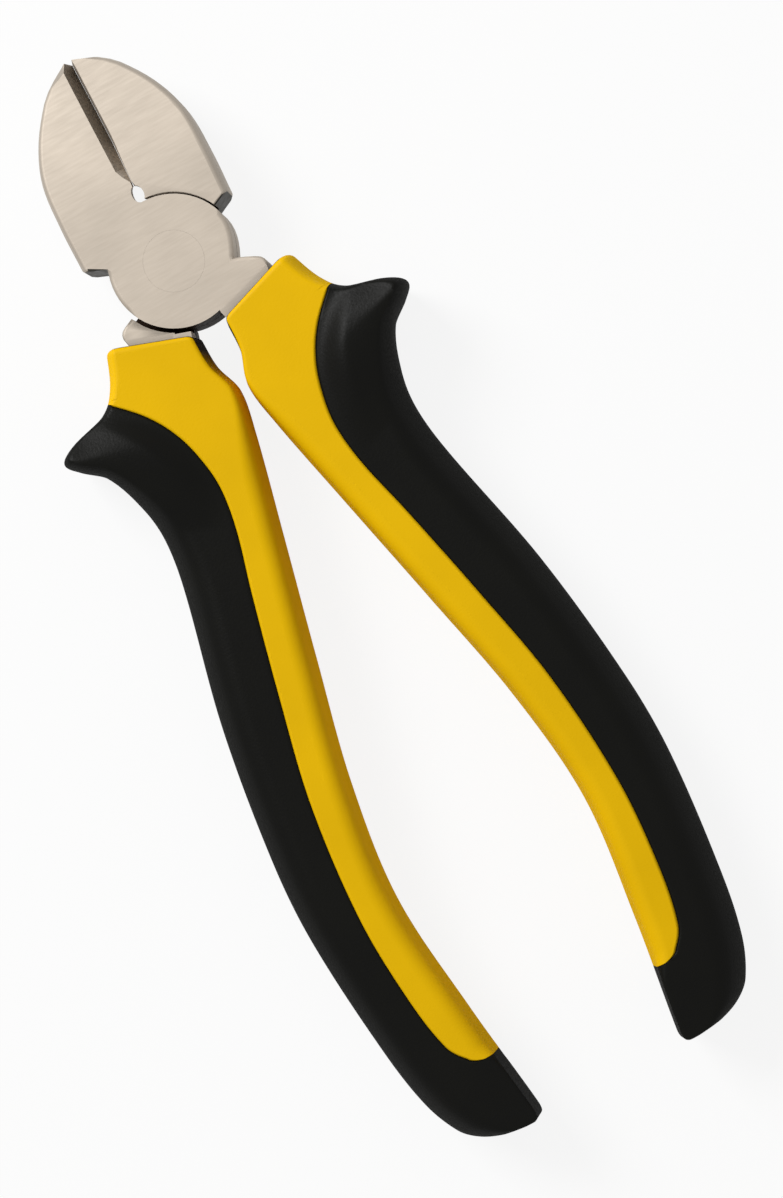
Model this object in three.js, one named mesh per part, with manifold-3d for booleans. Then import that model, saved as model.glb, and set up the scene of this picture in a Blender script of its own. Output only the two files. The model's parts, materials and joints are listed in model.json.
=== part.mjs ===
// Diagonal cutting pliers with a lap joint and two-colour grips, jaws closed.
// Millimetres. +X is to the right, +Y towards the jaw tips, +Z out of the front face.
// The origin is on the pivot axis, on the back face of the joint.
import * as THREE from "three";
import { mergeVertices } from "three/addons/utils/BufferGeometryUtils.js";
import Module from "manifold-3d";

// Lap joint
const JOINT_RADIUS = 9.3;
const JOINT_THICKNESS = 10;
const LAP_GAP = 0.3;
const JAW_CLEARANCE = 0.3;
const TANG_CLEARANCE = 0.6;

// Rivet, flush with both faces
const RIVET_RADIUS = 3;
const RIVET_HEAD_RADIUS = 4.2;
const RIVET_HEAD_DEPTH = 1.4;
const RIVET_CLEARANCE = 0.1;
const BORE_OVERRUN = 1;

// Jaws. Outline points are [inset from the widest flank, distance ahead of the joint's rim].
const JAW_OVERHANG = 2.35;
const JAW_OUTLINE = [
  [0.1, -9.3], [0.1, -4], [0, 2.2], [0.4, 8.9], [2.25, 14], [5.25, 18.6], [7.25, 20.6], [10, 22.4],
];
const JAW_EDGE_CHAMFER = 0.5;
const JAW_EDGE_DRAFT = 1.5;
const JAW_TIP_DROP = 2.2;
const JAW_DROP_START = 1;
const JAW_GAP = 0.12;

// The jaws are finished by hand, so the flanks lean to the right and the two shoulders differ
const JAW_LEAN = 0.03;
const JAW_LEAN_CENTRE = 9;
const FRONT_SHOULDER_ANGLE = 21.5;
const REAR_SHOULDER_ANGLE = 25;

// Cutting edges, at the bottom of a groove that runs out at the throat
const EDGE_ANGLE = 22;
const GROOVE_DEPTH = 4;
const GROOVE_START_DEPTH = 0.4;
const GROOVE_RUNOUT = 9;
const THROAT_WIDTH = 1.7;
const THROAT_LENGTH = 2.5;

// Neck, the bare steel between the joint and the sleeve
const NECK_OVERHANG = 2;
const NECK_ANGLE = 25;
const NECK_CORNER = 0.9;
const NECK_INNER = 2.4;

// Grip. Edge points are [distance from the centre plane, distance behind the joint's rim].
const GRIP_INNER_EDGE = [
  [2.4, 0.5], [2.4, 6.2], [0.6, 10.3], [1.8, 16.4], [5.4, 30.7], [9.4, 48.2],
  [13, 65.7], [14.7, 82.7], [13, 100.7], [11, 116], [12, 118.4],
];
const GRIP_OUTER_EDGE = [
  [14.3, -3.1], [16.5, 2.1], [19.6, 4.9], [24.7, 6.5], [27, 8.1], [25.8, 9.8], [22.7, 12.5],
  [20.4, 18.5], [19.75, 23.7], [20.6, 30.7], [25.1, 50.7], [27.75, 70.7], [28.1, 82.7],
  [26.5, 100.7], [24.85, 109.7], [22.3, 115.2], [17.5, 118.4],
];
const GRIP_THICKNESS = 13;
const GRIP_TAIL_THICKNESS = 12;
const GRIP_FRONT_ROUND = 0.7;
const GRIP_TAIL_ROUND = 3.5;
const GRIP_TAIL_THINNING = 0.7;
const INNER_WALL_DRAFT = 1.2;
const INNER_EDGE_RADIUS = 1;
const PARTING_LAND = 0.6;
const FRONT_NOSE = 2.5;
const BODY_NOSE = 5.2;
const SLANT_LENGTH = 15;

// Raised crest across the finger guard, measured from the front line of the grip
const CREST_SETBACK = 14;
const CREST_HEIGHT = 1;
const CREST_RISE = 5;
const CREST_FALL = 8;
const CREST_FADE = 6;

// Line between the two grip materials, as [distance from the centre plane, distance behind the joint's rim]
const COLOUR_LINE = [
  [17.7, 3.6], [13.5, 7.9], [10.8, 12.4], [9.4, 17.3], [9, 21.7], [9.8, 27.6], [12.1, 36.4], [15.5, 50.7],
  [18.65, 65.7], [20.15, 82.7], [19.45, 95.7], [18, 103.7], [16.3, 106.3], [14.3, 107.5], [11, 107.6],
];
const SKIN = 2.2;
const SLEEVE_WALL = 1;
const SLEEVE_TAIL_WALL = 2;
const FIT_GAP = 0.3;

// Tang inside the sleeve. Path points are [distance from the centre plane, distance behind the joint's rim].
const TANG_PATH = [[7.4, -2.5], [7.6, 2.7], [9.7, 22], [14, 41], [17.9, 61], [19.9, 81], [19.6, 96]];
const TANG_FRONT_WIDTH = 7.2;
const TANG_END_WIDTH = 5;
const TANG_CHAMFER = 0.8;

// Facets
const ROUND_STEPS = 60;
const THROAT_STEPS = 20;
const JAW_STEPS = 28;
const TANG_STEPS = 12;
const EDGE_STEPS = 3;
const NOSE_STEPS = 4;
const LINE_STEPS = 30;
const FRONT_STEPS = 4;
const GUARD_STEPS = 13;
const WAIST_STEPS = 4;
const BODY_STEPS = 8;
const TAIL_STEPS = 6;
const FLAT_MARGIN = 0.05;
const LINE_MARGIN = 0.6;

const MID = JOINT_THICKNESS / 2;
const JAW_FLANK = JOINT_RADIUS + JAW_OVERHANG;
const JAW_TIP = JAW_OUTLINE.at(-1)[1];
const GRIP_START = GRIP_OUTER_EDGE[0][1];
const GRIP_END = GRIP_OUTER_EDGE.at(-1)[1];
const FRONT_LEAD = GRIP_INNER_EDGE[0][1] - GRIP_START;
const FRONT_SLOPE = FRONT_LEAD / (GRIP_OUTER_EDGE[0][0] - GRIP_INNER_EDGE[0][0]);
const FAR = 200;
const RAD = Math.PI / 180;
const { clamp, lerp, smoothstep } = THREE.MathUtils;

const wasm = await Module();
wasm.setup();

function solid(geometry) {
  const bare = geometry.clone();
  bare.deleteAttribute("normal");
  bare.deleteAttribute("uv");
  const merged = mergeVertices(bare, 1e-4);
  return new wasm.Manifold(new wasm.Mesh({
    numProp: 3,
    vertProperties: Float32Array.from(merged.attributes.position.array),
    triVerts: Uint32Array.from(merged.index.array),
  }));
}

function geometryOf(body) {
  const mesh = body.getMesh();
  const geometry = new THREE.BufferGeometry();
  geometry.setAttribute("position", new THREE.BufferAttribute(Float32Array.from(mesh.vertProperties), 3));
  geometry.setIndex(new THREE.BufferAttribute(Uint32Array.from(mesh.triVerts), 1));
  geometry.computeVertexNormals();
  return geometry;
}

// Closed body through rings of equal length. Each ring runs clockwise as seen from the ring before it.
function loft(rings) {
  const count = rings[0].length;
  const positions = rings.flat().flatMap((point) => [point.x, point.y, point.z]);
  const indices = [];
  for (let ring = 0; ring + 1 < rings.length; ring += 1) {
    for (let i = 0; i < count; i += 1) {
      const a = ring * count + i;
      const b = ring * count + (i + 1) % count;
      indices.push(a, b, b + count, a, b + count, a + count);
    }
  }
  const last = (rings.length - 1) * count;
  for (let i = 1; i + 1 < count; i += 1) {
    indices.push(0, i + 1, i, last, last + i, last + i + 1);
  }
  const geometry = new THREE.BufferGeometry();
  geometry.setAttribute("position", new THREE.Float32BufferAttribute(positions, 3));
  geometry.setIndex(indices);
  return solid(geometry);
}

// Smooth curve through [value, station] points, read at a station.
function valueAt(points, station) {
  const last = points.length - 1;
  const slope = (k) => {
    const before = points[Math.max(k - 1, 0)];
    const after = points[Math.min(k + 1, last)];
    return (after[0] - before[0]) / (after[1] - before[1]);
  };
  let i = 0;
  while (i < last - 1 && station > points[i + 1][1]) {
    i += 1;
  }
  const [from, start] = points[i];
  const [to, end] = points[i + 1];
  const span = end - start;
  const t = clamp((station - start) / span, 0, 1);
  const lead = t * (1 - t) * (1 - t) * slope(i);
  const trail = t * t * (1 - t) * slope(i + 1);
  return lerp(from, to, t * t * (3 - 2 * t)) + span * (lead - trail);
}

function stations(first, last, count) {
  return Array.from({ length: count + 1 }, (_, i) => lerp(first, last, i / count));
}

function extrude(points, bottom, top) {
  const shape = new THREE.Shape(points.map(([x, y]) => new THREE.Vector2(x, y)));
  const geometry = new THREE.ExtrudeGeometry(shape, { depth: top - bottom, bevelEnabled: false });
  return solid(geometry.translate(0, 0, bottom));
}

function turned(profile) {
  const points = profile.map(([radius, height]) => new THREE.Vector2(radius, height));
  return solid(new THREE.LatheGeometry(points, ROUND_STEPS).rotateX(Math.PI / 2));
}

function disc(radius, bottom, top) {
  return turned([[0, bottom], [radius, bottom], [radius, top], [0, top]]);
}

// The rivet, or with a clearance and an overrun the bore that takes it
function rivetBody(clearance, overrun) {
  const shank = RIVET_RADIUS + clearance;
  const head = RIVET_HEAD_RADIUS + clearance;
  return turned([
    [0, -overrun],
    [head, -overrun],
    [head, 0],
    [shank, RIVET_HEAD_DEPTH],
    [shank, JOINT_THICKNESS - RIVET_HEAD_DEPTH],
    [head, JOINT_THICKNESS],
    [head, JOINT_THICKNESS + overrun],
    [0, JOINT_THICKNESS + overrun],
  ]);
}

// One lever in its own frame has its jaw on the -X side, its handle on the +X side and its lap disc in front.

// How far a face of the jaw has fallen at a distance ahead of the joint's rim
function jawDrop(ahead) {
  const run = Math.max(0, ahead - JAW_DROP_START) / (JAW_TIP - JAW_DROP_START);
  return JAW_TIP_DROP * run * run;
}

// Height of the cutting edge above the back of the joint
function edgeHeight(ahead) {
  const run = smoothstep(ahead, THROAT_LENGTH, THROAT_LENGTH + GROOVE_RUNOUT);
  return JOINT_THICKNESS - jawDrop(ahead) - lerp(GROOVE_START_DEPTH, GROOVE_DEPTH, run);
}

function jawRing(ahead, edge, lean) {
  const y = JOINT_RADIUS + ahead;
  const flank = JAW_FLANK - valueAt(JAW_OUTLINE, ahead) + lean * (ahead - JAW_LEAN_CENTRE);
  const face = flank - JAW_EDGE_CHAMFER;
  const bottom = jawDrop(ahead);
  const top = JOINT_THICKNESS - bottom;
  const spread = Math.tan(EDGE_ANGLE * RAD);
  const bevel = (depth) => Math.min(JAW_GAP / 2 + depth * spread, face - JAW_GAP);
  return [
    new THREE.Vector3(-flank, y, bottom + JAW_EDGE_DRAFT),
    new THREE.Vector3(-flank, y, top - JAW_EDGE_DRAFT),
    new THREE.Vector3(-face, y, top),
    new THREE.Vector3(-bevel(top - edge), y, top),
    new THREE.Vector3(-JAW_GAP / 2, y, edge),
    new THREE.Vector3(-bevel(edge - bottom), y, bottom),
    new THREE.Vector3(-face, y, bottom),
  ];
}

function jawBody(edgeAt, lean, shoulderAngle) {
  const ahead = stations(JAW_OUTLINE[0][1], JAW_TIP, JAW_STEPS);
  const blank = loft(ahead.map((station) => jawRing(station, edgeAt(station), lean)));
  const slope = Math.tan(shoulderAngle * RAD);
  const behindShoulder = extrude([[0, 0], [-FAR, FAR * slope], [-FAR, -FAR], [0, -FAR]], -FAR, FAR);
  const throat = new THREE.CylinderGeometry(THROAT_WIDTH / 2, THROAT_WIDTH / 2, FAR, THROAT_STEPS);
  throat.rotateX(Math.PI / 2);
  throat.scale(1, THROAT_LENGTH / THROAT_WIDTH, 1);
  throat.translate(0, JOINT_RADIUS + THROAT_LENGTH / 2, 0);
  return blank.subtract(behindShoulder).subtract(solid(throat));
}

// Front line of the grip in plan
function gripFrontAt(x) {
  const [innerX, innerBehind] = GRIP_INNER_EDGE[0];
  return -JOINT_RADIUS - innerBehind + (x - innerX) * FRONT_SLOPE;
}

function neckBody() {
  const outer = JOINT_RADIUS + NECK_OVERHANG;
  const slope = Math.tan(NECK_ANGLE * RAD);
  const root = JOINT_RADIUS / 2;
  const endAt = (x) => gripFrontAt(x) + FIT_GAP * Math.hypot(1, FRONT_SLOPE);
  const shape = new THREE.Shape();
  shape.moveTo(root, -root * slope);
  shape.lineTo(outer - NECK_CORNER, (NECK_CORNER - outer) * slope);
  shape.quadraticCurveTo(outer, -outer * slope, outer, -outer * slope - NECK_CORNER);
  shape.lineTo(outer, endAt(outer));
  shape.lineTo(NECK_INNER, endAt(NECK_INNER));
  shape.lineTo(NECK_INNER, -root);
  const settings = { depth: JOINT_THICKNESS, bevelEnabled: false, curveSegments: EDGE_STEPS };
  return solid(new THREE.ExtrudeGeometry(shape, settings));
}

// Half the thickness between the flat faces of the grip
function gripHalf(behind) {
  const share = clamp(behind / GRIP_END, 0, 1);
  return lerp(GRIP_THICKNESS, GRIP_TAIL_THICKNESS, share * share) / 2;
}

function tangBody(clearance) {
  const first = TANG_PATH[0][1];
  const last = TANG_PATH.at(-1)[1];
  const rings = stations(first, last + clearance, TANG_STEPS).map((behind) => {
    const share = (behind - first) / (last - first);
    const side = lerp(TANG_FRONT_WIDTH, TANG_END_WIDTH, share) / 2 + clearance;
    const half = gripHalf(behind) - SKIN - SLEEVE_WALL - FIT_GAP + clearance;
    const face = side - TANG_CHAMFER;
    const flank = half - TANG_CHAMFER;
    const centre = valueAt(TANG_PATH, behind);
    const corners = [
      [side, -flank], [side, flank], [face, half], [-face, half],
      [-side, flank], [-side, -flank], [-face, -half], [face, -half],
    ];
    return corners.map(([x, z]) => new THREE.Vector3(centre + x, -JOINT_RADIUS - behind, MID + z));
  });
  return loft(rings);
}

function forging(edgeAt, lean, shoulderAngle) {
  const lap = MID + LAP_GAP / 2;
  const jaw = jawBody(edgeAt, lean, shoulderAngle).subtract(disc(JOINT_RADIUS + JAW_CLEARANCE, -FAR, lap));
  const handle = neckBody().add(tangBody(0)).subtract(disc(JOINT_RADIUS + TANG_CLEARANCE, -FAR, lap));
  const body = disc(JOINT_RADIUS, lap, JOINT_THICKNESS).add(jaw).add(handle);
  return geometryOf(body.subtract(rivetBody(RIVET_CLEARANCE, BORE_OVERRUN)));
}

// Extra half thickness on the finger guard, outside the colour line only
function crest(x, y) {
  const behindFront = (gripFrontAt(x) - y) / Math.hypot(1, FRONT_SLOPE);
  const offset = behindFront - CREST_SETBACK;
  const share = offset < 0 ? offset / CREST_RISE : offset / CREST_FALL;
  const side = x - valueAt(COLOUR_LINE, -JOINT_RADIUS - y);
  return CREST_HEIGHT * smoothstep(1 - Math.abs(share), 0, 1) * smoothstep(side, 0, CREST_FADE);
}

// Grip section across the handle, shrunk by an inset. The inner edge is crisp and the outer one round.
function gripRing(behind, inset, crestShare) {
  const fade = clamp((behind - GRIP_START) / SLANT_LENGTH, 0, 1);
  const innerBehind = behind + FRONT_LEAD * (1 - fade);
  const inner = new THREE.Vector2(valueAt(GRIP_INNER_EDGE, innerBehind), -JOINT_RADIUS - innerBehind);
  const outer = new THREE.Vector2(valueAt(GRIP_OUTER_EDGE, behind), -JOINT_RADIUS - behind);
  const width = inner.distanceTo(outer);
  const tail = clamp((behind - GRIP_END + GRIP_TAIL_ROUND) / GRIP_TAIL_ROUND, 0, 1);
  const half = gripHalf(behind) * Math.sqrt(1 - GRIP_TAIL_THINNING * tail * tail) - inset;
  const nose = lerp(FRONT_NOSE, BODY_NOSE, fade);
  const edge = inset + INNER_WALL_DRAFT + INNER_EDGE_RADIUS;
  const flat = width - inset - nose - edge;
  const line = width * (valueAt(COLOUR_LINE, (behind + innerBehind) / 2) - inner.x) / (outer.x - inner.x);
  const bend = clamp(line - LINE_MARGIN, edge + flat * FLAT_MARGIN, edge + flat * (1 - FLAT_MARGIN));
  const upper = [];
  for (let i = 0; i < NOSE_STEPS; i += 1) {
    const angle = (i + 0.5) / NOSE_STEPS * Math.PI / 2;
    upper.push([width - inset - nose * (1 - Math.cos(angle)), half * Math.sin(angle)]);
  }
  upper.push([edge + flat, half], [(edge + flat + bend) / 2, half], [bend, half]);
  for (let i = 0; i <= EDGE_STEPS; i += 1) {
    const angle = i / EDGE_STEPS * Math.PI / 2;
    const corner = INNER_EDGE_RADIUS * (1 - Math.cos(angle));
    upper.push([edge - INNER_EDGE_RADIUS * Math.sin(angle), half - corner]);
  }
  upper.push([inset, PARTING_LAND / 2]);
  const lower = upper.toReversed().map(([along, z]) => [along, -z]);
  return [...upper, ...lower].map(([along, z]) => {
    const place = inner.clone().lerp(outer, along / width);
    const swell = 1 + crestShare * crest(place.x, place.y) / half;
    return new THREE.Vector3(place.x, place.y, MID + z * swell);
  });
}

// Stations of the grip's sections, close together round the finger guard
function gripStations() {
  const guard = COLOUR_LINE[0][1];
  const waist = guard + CREST_RISE + CREST_FALL;
  const middle = waist + 2 * CREST_FALL;
  const tail = GRIP_END - 2 * GRIP_TAIL_ROUND;
  return [
    ...stations(GRIP_START + GRIP_FRONT_ROUND, guard, FRONT_STEPS).slice(0, -1),
    ...stations(guard, waist, GUARD_STEPS).slice(0, -1),
    ...stations(waist, middle, WAIST_STEPS).slice(0, -1),
    ...stations(middle, tail, BODY_STEPS).slice(0, -1),
    ...stations(tail, GRIP_END, TAIL_STEPS),
  ];
}

// Whole outside of the grip
function gripBody() {
  const rings = gripStations().map((station) => gripRing(station, 0, 1));
  return loft([gripRing(GRIP_START, GRIP_FRONT_ROUND, 0), ...rings]);
}

// Inside of the grip under the black skin
function coreBody(clearance) {
  const first = COLOUR_LINE[0][1] - SKIN;
  const last = GRIP_END - GRIP_TAIL_ROUND - SLEEVE_TAIL_WALL;
  const between = gripStations().filter((station) => station > first && station < last);
  const all = [first - clearance, ...between, last + clearance];
  return loft(all.map((station) => gripRing(station, SKIN - clearance, 0)));
}

// Everything outside the colour line, with the line moved inward by a gap
function blackZone(gap) {
  const line = COLOUR_LINE.map(([x, behind]) => new THREE.Vector2(x - gap, -JOINT_RADIUS - behind + gap));
  const points = new THREE.SplineCurve(line).getPoints(LINE_STEPS).map((point) => point.toArray());
  const [endX, endY] = points.at(-1);
  return extrude([...points, [0, endY], [0, -FAR], [FAR, -FAR], [FAR, points[0][1]]], -FAR, FAR);
}

function overmould() {
  return geometryOf(gripBody().intersect(blackZone(0)).subtract(coreBody(FIT_GAP)));
}

function sleeve() {
  const bare = gripBody().subtract(blackZone(FIT_GAP));
  return geometryOf(bare.add(coreBody(0)).subtract(tangBody(FIT_GAP)));
}

const STEEL = new THREE.MeshStandardMaterial({ color: 0xcfc5b5, roughness: 0.42, metalness: 1 });
const YELLOW = new THREE.MeshStandardMaterial({ color: 0xe0ab0c, roughness: 0.45, metalness: 0 });
const BLACK = new THREE.MeshStandardMaterial({ color: 0x1d1d18, roughness: 0.6, metalness: 0 });

function piece(name, geometry, material) {
  const mesh = new THREE.Mesh(geometry, material);
  mesh.name = name;
  return mesh;
}

const sleeveGeometry = sleeve();
const overmouldGeometry = overmould();

const frontLever = new THREE.Group();
frontLever.add(
  piece("front_half", forging(edgeHeight, -JAW_LEAN, FRONT_SHOULDER_ANGLE), STEEL),
  piece("pivot_rivet", geometryOf(rivetBody(0, 0)), STEEL),
  piece("right_sleeve", sleeveGeometry, YELLOW),
  piece("right_overmould", overmouldGeometry, BLACK),
);

// The rear lever is the same lever turned half a turn about the long axis, with an edge that meets the front one
const rearEdge = (ahead) => JOINT_THICKNESS - edgeHeight(ahead);
const rearLever = new THREE.Group();
rearLever.rotation.y = Math.PI;
rearLever.position.z = JOINT_THICKNESS;
rearLever.add(
  piece("rear_half", forging(rearEdge, JAW_LEAN, REAR_SHOULDER_ANGLE), STEEL),
  piece("left_sleeve", sleeveGeometry, YELLOW),
  piece("left_overmould", overmouldGeometry, BLACK),
);

const pliers = new THREE.Group();
pliers.name = "cutting_pliers";
pliers.add(frontLever, rearLever);

export default pliers;
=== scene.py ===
import json
import math

import bmesh
import bpy
import numpy as np
from bpy.props import FloatProperty, FloatVectorProperty, PointerProperty
from mathutils import Matrix, Vector

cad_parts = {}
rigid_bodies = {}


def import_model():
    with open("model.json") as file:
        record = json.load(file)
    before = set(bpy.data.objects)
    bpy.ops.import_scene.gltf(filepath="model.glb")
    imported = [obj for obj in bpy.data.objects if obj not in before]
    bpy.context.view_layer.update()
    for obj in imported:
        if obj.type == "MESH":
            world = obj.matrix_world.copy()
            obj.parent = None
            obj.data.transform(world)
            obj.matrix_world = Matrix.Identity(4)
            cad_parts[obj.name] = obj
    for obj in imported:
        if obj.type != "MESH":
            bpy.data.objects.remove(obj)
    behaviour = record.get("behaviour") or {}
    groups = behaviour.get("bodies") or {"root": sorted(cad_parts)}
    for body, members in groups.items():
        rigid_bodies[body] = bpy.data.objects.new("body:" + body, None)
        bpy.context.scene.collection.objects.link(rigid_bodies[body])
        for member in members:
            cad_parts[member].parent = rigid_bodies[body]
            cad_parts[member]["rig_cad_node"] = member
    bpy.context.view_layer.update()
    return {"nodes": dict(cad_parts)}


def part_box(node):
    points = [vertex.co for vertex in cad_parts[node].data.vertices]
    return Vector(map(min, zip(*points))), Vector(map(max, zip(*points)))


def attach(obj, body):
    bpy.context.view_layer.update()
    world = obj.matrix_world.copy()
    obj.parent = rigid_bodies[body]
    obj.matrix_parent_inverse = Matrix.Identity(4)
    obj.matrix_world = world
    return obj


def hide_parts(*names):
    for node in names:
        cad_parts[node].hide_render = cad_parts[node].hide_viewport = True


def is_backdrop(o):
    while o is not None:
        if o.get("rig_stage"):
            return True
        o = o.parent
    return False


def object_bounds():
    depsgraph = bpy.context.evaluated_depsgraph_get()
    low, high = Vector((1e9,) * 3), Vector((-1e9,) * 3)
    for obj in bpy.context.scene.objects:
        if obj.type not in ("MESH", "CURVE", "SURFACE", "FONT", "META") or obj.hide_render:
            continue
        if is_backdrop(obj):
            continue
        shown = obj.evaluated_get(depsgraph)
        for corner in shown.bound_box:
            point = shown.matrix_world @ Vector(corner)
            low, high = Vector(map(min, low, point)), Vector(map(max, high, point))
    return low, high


bl_info = {
    "name": "Cutting Pliers",
    "version": (1, 0, 0),
    "blender": (4, 5, 0),
    "location": "View3D > Sidebar > Pliers",
    "description": "Models the finished look of a pair of cutting pliers around their solids",
    "category": "Add Mesh",
}

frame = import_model()
MM = 0.001

# Taken from the frame: the rivet is as long as the joint is thick, and its axis is the pivot
RIVET_LOW, RIVET_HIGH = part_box("pivot_rivet")
JOINT_THICKNESS = (RIVET_HIGH.z - RIVET_LOW.z) / MM
MID = JOINT_THICKNESS / 2

# Outlines of one grip in millimetres, as [distance from the centre plane, distance behind the joint's rim]
INNER_EDGE = [
    [2.1, 1.2], [1.9, 5.9], [0.6, 10.3], [1.5, 16.4], [4.8, 30.7], [8.9, 48.2],
    [12.8, 65.7], [14.7, 82.7], [13, 100.7], [10.8, 116.8], [10.85, 117.9], [11.2, 118.4],
]
OUTER_EDGE = [
    [14.5, -3.1], [16.75, 2.1], [19.6, 4.9], [24.7, 6.5], [27, 8.1], [25.8, 9.8], [22.7, 12.5],
    [20.4, 18.5], [19.75, 23.7], [20.6, 30.7], [25.1, 50.7], [27.75, 70.7], [28.1, 82.7],
    [26.5, 100.7], [24.85, 109.7], [22.6, 114.9], [20.5, 116.9], [17.6, 118.1], [14.8, 118.4],
]
COLOUR_LINE = [
    [18.2, 3.1], [13.5, 7.9], [10.8, 12.4], [9.4, 17.3], [9, 21.7], [9.8, 27.6], [12.1, 36.4], [15.5, 50.7],
    [18.65, 65.7], [20.15, 82.7], [19.45, 95.7], [18, 103.7], [16.3, 106.3], [14.3, 107.5], [11, 107.6],
]


def length(name, description, default):
    """A size in metres whose default is written in millimetres."""
    return FloatProperty(name=name, description=description, default=default * MM, unit="LENGTH", precision=5)


def colour(name, description, default):
    return FloatVectorProperty(
        name=name, description=description, default=default, subtype="COLOR", size=3, min=0, max=1
    )


def share(name, description, default):
    return FloatProperty(name=name, description=description, default=default, subtype="FACTOR", min=0, max=1)


class SteelSettings(bpy.types.PropertyGroup):
    """Sizes and finish of the two forged halves and the rivet."""

    joint_radius: length("Joint radius", "Radius of the lap discs", 9.3)
    rim_relief: length("Rim relief", "Depth of the relief on the discs' right side", 1)
    rim_bevel: length("Rim bevel", "Bevel on the bare stretches of a disc's rim", 0.7)
    edge_bevel: length("Edge bevel", "Softening of the jaws' and necks' outer edges", 0.4)
    neck_reach: length("Neck reach", "How far a neck runs into its sleeve", 2.2)
    bevel_width: length("Bevel width", "Width of the near jaw's cutting bevel", 1.3)
    bevel_lead: length("Bevel lead", "Length over which that bevel opens from the throat", 3)
    bevel_end: length("Bevel end", "Where that bevel ends ahead of the joint", 30.6)
    cutting_gap: length("Cutting gap", "Slit left between the closed cutting edges", 0.03)
    far_bevel: share("Far bevel", "Width of the far jaw's bevel against the near one's", 0.35)
    rivet_clearance: length("Rivet clearance", "Room between the solid rivet and its bore", 0.1)
    rivet_gap: length("Rivet gap", "Hairline left round the flush rivet", 0.015)
    ground: colour("Ground steel", "Bright satin faces", (0.43, 0.381, 0.324))
    forged: colour("Forged steel", "Dull sides that weren't ground", (0.045, 0.043, 0.037))
    # Painted shade: a dark tone put on the faces in the gaps round the joint, where shadow falls
    oil: colour("Joint oil", "Dark film in the gaps round the joint", (0.02, 0.011, 0.007))
    bevel: colour("Cutting bevel", "Steep faces that lead to the cutting edges", (0.42, 0.37, 0.31))
    roughness: share("Steel roughness", "Roughness of the ground faces", 0.69)


class GripSettings(bpy.types.PropertyGroup):
    """Sizes and finish of the two-colour grips."""

    thickness: length("Thickness", "Grip thickness at the guard", 13)
    tail_thickness: length("Tail thickness", "Grip thickness at the tail", 12)
    front_draft: length("Front draft", "Lean of the inner wall beside the joint", 0.5)
    body_draft: length("Body draft", "Lean of the inner wall along the handle", 0.6)
    tail_draft: length("Tail draft", "Lean of the inner wall at the tail", 0.55)
    front_radius: length("Front edge radius", "Rounding of the inner edge beside the joint", 0.7)
    body_radius: length("Body edge radius", "Rounding of the inner edge along the handle", 2.3)
    tail_radius: length("Tail edge radius", "Rounding of the inner edge at the tail", 0.45)
    front_nose: length("Front nose", "Depth of the rounded outer edge at the front", 1.8)
    body_nose: length("Body nose", "Depth of the rounded outer edge along the handle", 5.2)
    slant: length("Slant length", "Stretch over which the sections turn square to the handle", 15)
    front_round: length("Front round", "Radius of the sleeve's front edge", 0.8)
    tail_round: length("Tail round", "Radius of the tail's end", 0.45)
    crest_setback: length("Crest setback", "Distance of the guard's crest behind the grip's front line", 14.8)
    crest_height: length("Crest height", "Rise of the guard's crest", 1.8)
    crest_rise: length("Crest rise", "Length of the slope ahead of the crest", 5.2)
    crest_fall: length("Crest fall", "Length of the slope behind the crest", 8)
    crest_fade: length("Crest fade", "Stretch over which the crest grows from the colour line", 5)
    groove_depth: length("Groove depth", "Depth of the groove between the two materials", 0.28)
    groove_width: length("Groove width", "Half the width of that groove", 0.4)
    skin: length("Skin", "Thickness of the black skin", 1.6)
    skin_room: length("Skin room", "Space left under the black skin", 0.2)
    # Painted shade: a dark tone put on the sleeve's inner wall beside the joint, where shadow falls
    mouth_painted_shade: colour("Mouth shade", "Tone of the inner wall beside the joint", (0.018, 0.01, 0.003))
    yellow: colour("Yellow", "Hard sleeve", (0.85, 0.505, 0.0012))
    black: colour("Black", "Soft overmould", (0.0022, 0.0022, 0.0014))


class StageSettings(bpy.types.PropertyGroup):
    """Camera, floor and light."""

    eye: FloatVectorProperty(
        name="Eye", description="Where the camera stands", default=(0.03535, -0.0708, 0.53484), subtype="XYZ"
    )
    aim: FloatVectorProperty(
        name="Aim",
        description="Point at the centre of the picture",
        default=(0.004156, -0.055132, 0.005),
        subtype="XYZ",
    )
    roll: FloatProperty(
        name="Roll",
        description="Lean of the tool in the picture",
        default=math.radians(28.25),
        subtype="ANGLE",
    )
    lens: FloatProperty(name="Lens", description="Focal length in millimetres", default=115.06, min=1)
    floor_size: FloatProperty(name="Floor size", description="Side of the floor", default=6, unit="LENGTH")
    floor_gap: length("Floor gap", "Space under the tool", 0.05)
    key_place: FloatVectorProperty(
        name="Key place", description="Where the key lamp hangs", default=(-0.27, 0.5, 0.6), subtype="XYZ"
    )
    key_size: FloatProperty(name="Key size", description="Side of the key lamp", default=0.38, unit="LENGTH")
    key_power: FloatProperty(name="Key power", description="Power of the key lamp", default=6, unit="POWER")
    ambient: FloatProperty(name="Ambient", description="Strength of the surrounding light", default=0.32)
    ambient_tint: colour("Ambient tint", "Colour of the surrounding light", (1, 0.99, 0.97))
    floor_tone: colour("Floor tone", "Colour of the floor where light falls on it", (0.9, 0.9, 0.9))
    floor_roughness: share("Floor roughness", "Roughness of the floor", 0.9)
    floor_white: share("Floor white", "Share of plain white in the floor that is seen", 0.88)
    near_clip: length("Near clip", "Nearest distance that the camera sees", 10)


# Edit-mode helpers


def deselect_all():
    if bpy.context.object and bpy.context.object.mode != "OBJECT":
        bpy.ops.object.mode_set(mode="OBJECT")
    bpy.ops.object.select_all(action="DESELECT")


def activate(piece):
    """Makes a piece the active object and the only selected one."""
    deselect_all()
    piece.select_set(True)
    bpy.context.view_layer.objects.active = piece


def edit(piece):
    """Opens a piece in edit mode with nothing selected."""
    activate(piece)
    bpy.ops.object.mode_set(mode="EDIT")
    bpy.ops.mesh.select_all(action="DESELECT")


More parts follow.
